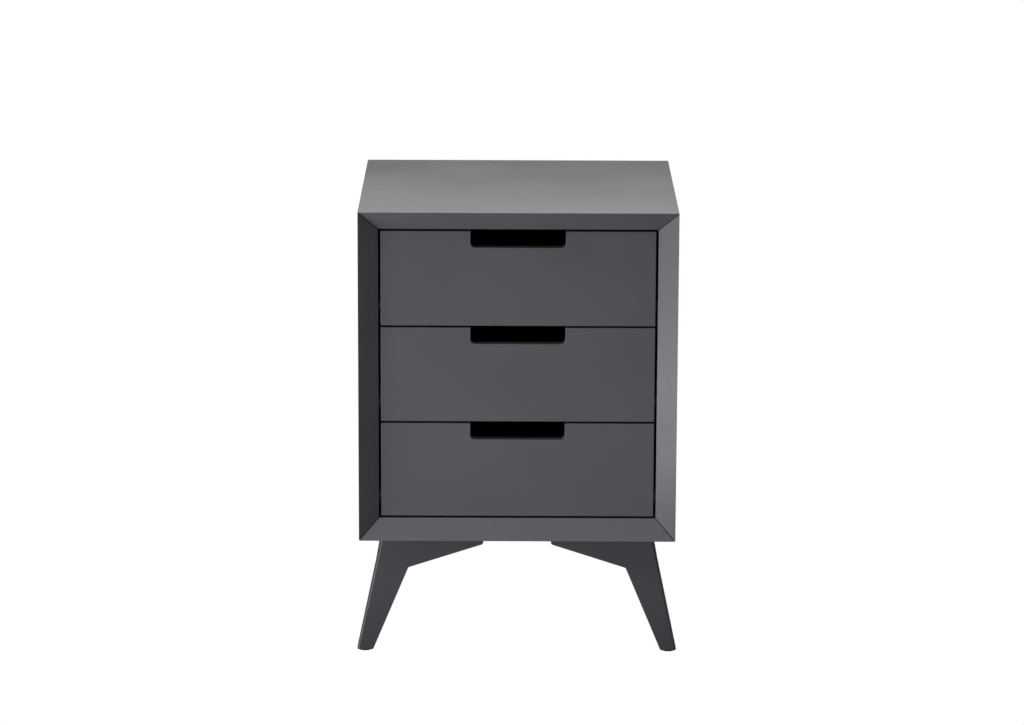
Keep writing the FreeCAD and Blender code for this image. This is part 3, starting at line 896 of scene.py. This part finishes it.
def spinOutline(centre):
    # turns a flat outline once round an axis along x, and closes it
    bpy.ops.mesh.select_all(action="SELECT")
    bpy.ops.mesh.spin(steps=turning["steps"], angle=math.tau, center=centre, axis=(1, 0, 0))
    bpy.ops.mesh.select_all(action="SELECT")
    bpy.ops.mesh.remove_doubles(threshold=turning["seam"])
    tidyNormals()


def makeRoller(node):
    # moulded nylon with a dished web between its hub and its tread
    shape = {"bore": mm(2.55), "treadRadius": mm(0.6), "hub": mm(1.1), "rim": mm(1.5),
             "dish": mm(1.3), "draft": mm(0.25)}
    low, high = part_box(node)
    centre = (low + high) / 2
    radius = (high.z - low.z) / 2
    piece = addSheet("roller_shape", (low.x, centre.y, centre.z + shape["bore"]),
                     (high.x, centre.y, centre.z + radius))
    startEdit(piece)
    dishLow = centre.z + shape["bore"] + shape["hub"]
    dishHigh = centre.z + radius - shape["rim"]
    for z in (dishLow, dishLow + shape["draft"], dishHigh - shape["draft"], dishHigh):
        bpy.ops.mesh.select_all(action="SELECT")
        bisect(Vector((0, 0, z)), (0, 0, 1))
    for x, way in ((low.x, 1), (high.x, -1)):
        pick(piece, "EDGE", lambda p: isAt(p.x, x) and isAt(p.z, (dishLow + dishHigh) / 2))
        move((way * shape["dish"], 0, 0))
    pick(piece, "VERT", lambda p: isAt(p.z, centre.z + radius))
    bpy.ops.mesh.bevel(offset=shape["treadRadius"], segments=4, affect="VERTICES")
    outlineOnly()
    spinOutline(centre)
    endEdit()
    return piece


def makeAxle(roller, side):
    # a rivet: its foot fills the web's hole, then a shoulder, the pin and a domed head
    shape = {"pin": mm(2.5), "shoulder": mm(4.0), "shoulderWidth": mm(0.6), "sideGap": mm(0.2),
             "head": mm(3.8), "headWidth": mm(0.8), "dome": mm(0.6)}
    low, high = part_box(roller)
    centre = (low + high) / 2
    start, end = (low.x, high.x) if side > 0 else (high.x, low.x)
    shoulder = start - side * shape["sideGap"]
    foot = shoulder - side * (shape["shoulderWidth"] + runner["sheet"])
    head = end + side * shape["sideGap"]
    tip = head + side * shape["headWidth"]
    top = centre.z + shape["pin"]
    piece = addSheet("axle_shape", (min(foot, tip), centre.y, centre.z),
                     (max(foot, tip), centre.y, top))
    startEdit(piece)
    web = shoulder - side * shape["shoulderWidth"]
    for x in (web, shoulder, head):
        bpy.ops.mesh.select_all(action="SELECT")
        bisect(Vector((x, 0, 0)), (1, 0, 0))
    pick(piece, "EDGE", lambda p: isAt(p.z, top) and isAt(p.x, (web + shoulder) / 2))
    extrude((0, 0, shape["shoulder"] - shape["pin"]))
    pick(piece, "EDGE", lambda p: isAt(p.z, top) and isAt(p.x, (head + tip) / 2))
    extrude((0, 0, shape["head"] - shape["pin"]))
    pick(piece, "VERT", lambda p: isAt(p.x, tip) and isAt(p.z, centre.z + shape["head"]))
    bpy.ops.mesh.bevel(offset=shape["dome"], segments=4, affect="VERTICES")
    outlineOnly()
    pick(piece, "EDGE", lambda p: isAt(p.z, centre.z))
    bpy.ops.mesh.delete(type="EDGE")
    spinOutline(centre)
    endEdit()
    return piece


def makeAxles():
    # one rivet of each kind, then a copy for each runner
    caseShape = makeAxle("lower_left_case_roller", 1)
    drawerShape = makeAxle("lower_left_drawer_roller", -1)
    caseAxles = []
    for level in levels:
        rise = (0, 0, levelRise[level])
        caseAxles += [copyPiece(caseShape, "axle", rise, (way, 1, 1)) for way in (1, -1)]
        pair = [copyPiece(drawerShape, "axle", rise, (way, 1, 1)) for way in (1, -1)]
        finishPiece(joinPieces(pair, level + "_drawer_axles_riveted"), zinc, "zinc_steel",
                    level + "_drawer", level + "_drawer_roller_axles")
    finishPiece(joinPieces(caseAxles, "case_axles_riveted"), zinc, "zinc_steel", "case",
                "case_roller_axles")
    for shape in (caseShape, drawerShape):
        bpy.data.objects.remove(shape)


for kind in ("case", "drawer"):
    roller = "LEVEL_SIDE_" + kind + "_roller"
    placeOnLevels(makeRoller("lower_left_" + kind + "_roller"), roller, nylon, "roller_nylon",
                  roller, "_moulded")
makeAxles()
print("rollers and axles made")


def addSoftbox(name, light):
    bpy.ops.object.select_all(action="DESELECT")
    bpy.ops.object.light_add(type="AREA", location=light["place"])
    lamp = bpy.context.object
    lamp.name = name
    aim = Vector(light["aim"]) - Vector(light["place"])
    lamp.rotation_euler = aim.to_track_quat("-Z", "Y").to_euler()
    lamp.data.shape = "RECTANGLE"
    lamp.data.size, lamp.data.size_y = light["size"]
    # power for an even brightness over the lamp's own area
    lamp.data.energy = light["brightness"] * math.pi * lamp.data.size * lamp.data.size_y
    lamp.data.color = studio["lampTint"]
    lamp.visible_camera = False


# metres; brightness is against paper white. The lamps are softboxes and lit white cards, and the
# bounce lamps lie at floor level, where they give what a white floor would throw back
studio = {
    "air": 0.09,                     # the room's own light on the object
    "paper": 1.0,                    # the white that the camera sees all round it
    "sky": 0.12,
    "skySpread": math.radians(120),
    "lampTint": (0.98, 0.98, 1.0),   # a shade cooler than the paper
    "lamps": {
        "left_softbox": {"place": (-2.4, -2.0, 0.5), "aim": (0, 0, 0.35), "size": (1.6, 1.0),
                         "brightness": 6.0},
        "low_left_softbox": {"place": (-2.6, -0.9, 0.3), "aim": (0, 0, 0.3),
                             "size": (1.6, 0.55), "brightness": 0.58},
        "overhead_softbox": {"place": (-0.2, -0.9, 2.6), "aim": (0, -0.1, 0.5),
                             "size": (2.0, 1.6), "brightness": 1.94},
        "high_rear_card": {"place": (0, 1.3, 1.4), "aim": (0, 0, 0.6), "size": (2.0, 0.8),
                           "brightness": 1.33},
        "low_rear_card": {"place": (0, 0.7, 1.05), "aim": (0, 0, 0.6), "size": (1.4, 0.35),
                          "brightness": 1.66},
        "right_rear_softbox": {"place": (2.4, 3.2, 1.5), "aim": (0, 0, 0.4),
                               "size": (1.6, 1.6), "brightness": 7.2},
        "left_bounce": {"place": (-1.2, -1.0, -0.02), "aim": (-1.2, -1.0, 1),
                        "size": (1.0, 1.4), "brightness": 9.4},
        "front_bounce": {"place": (0.1, -1.3, -0.02), "aim": (0.1, -1.3, 1),
                         "size": (1.0, 1.8), "brightness": 0.89},
    },
}


def setLights():
    world = bpy.data.worlds.new("studio_air")
    world.use_nodes = True
    air = world.node_tree.nodes["Background"]
    air.inputs["Color"].default_value = (1, 1, 1, 1)
    seen = addNode(world.node_tree, "ShaderNodeLightPath").outputs["Is Camera Ray"]
    addRange(world.node_tree, seen, (0, 1), (studio["air"], studio["paper"]),
             air.inputs["Strength"])
    bpy.context.scene.world = world
    bpy.ops.object.select_all(action="DESELECT")
    bpy.ops.object.light_add(type="SUN", location=(0, 0, 4))
    sky = bpy.context.object
    sky.name = "ceiling_light"
    sky.data.energy = studio["sky"]
    sky.data.angle = studio["skySpread"]
    for name, light in studio["lamps"].items():
        addSoftbox(name, light)


def setCamera():
    # angles in degrees, place, lens and sensor in mm, reach in metres
    view = {"place": (-13, -5400, 1576.1), "yaw": -0.058, "pitch": 12.792, "roll": 0.223,
            "lens": 142.689, "sensor": 36, "reach": 200}
    bpy.ops.object.select_all(action="DESELECT")
    bpy.ops.object.camera_add(location=mm(*view["place"]))
    camera = bpy.context.object
    turn = (Matrix.Rotation(math.radians(view["yaw"]), 3, "Z")
            @ Matrix.Rotation(math.radians(90 - view["pitch"]), 3, "X")
            @ Matrix.Rotation(math.radians(view["roll"]), 3, "Z"))
    camera.rotation_euler = turn.to_euler()
    camera.data.lens = view["lens"]
    camera.data.sensor_width = view["sensor"]
    camera.data.clip_end = view["reach"]
    bpy.context.scene.camera = camera


setLights()
setCamera()
bpy.context.scene.view_settings.view_transform = "Standard"
print("lights and camera set")

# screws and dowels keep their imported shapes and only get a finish
fasteners = {"case_dowels": beech, "back_panel_screws": zinc, "leg_screws": zinc,
             "case_rail_screws": zinc, "lower_drawer_screws": zinc, "middle_drawer_screws": zinc,
             "upper_drawer_screws": zinc}
for name, material in fasteners.items():
    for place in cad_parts[name].material_slots:
        place.material = material
print("fasteners finished")
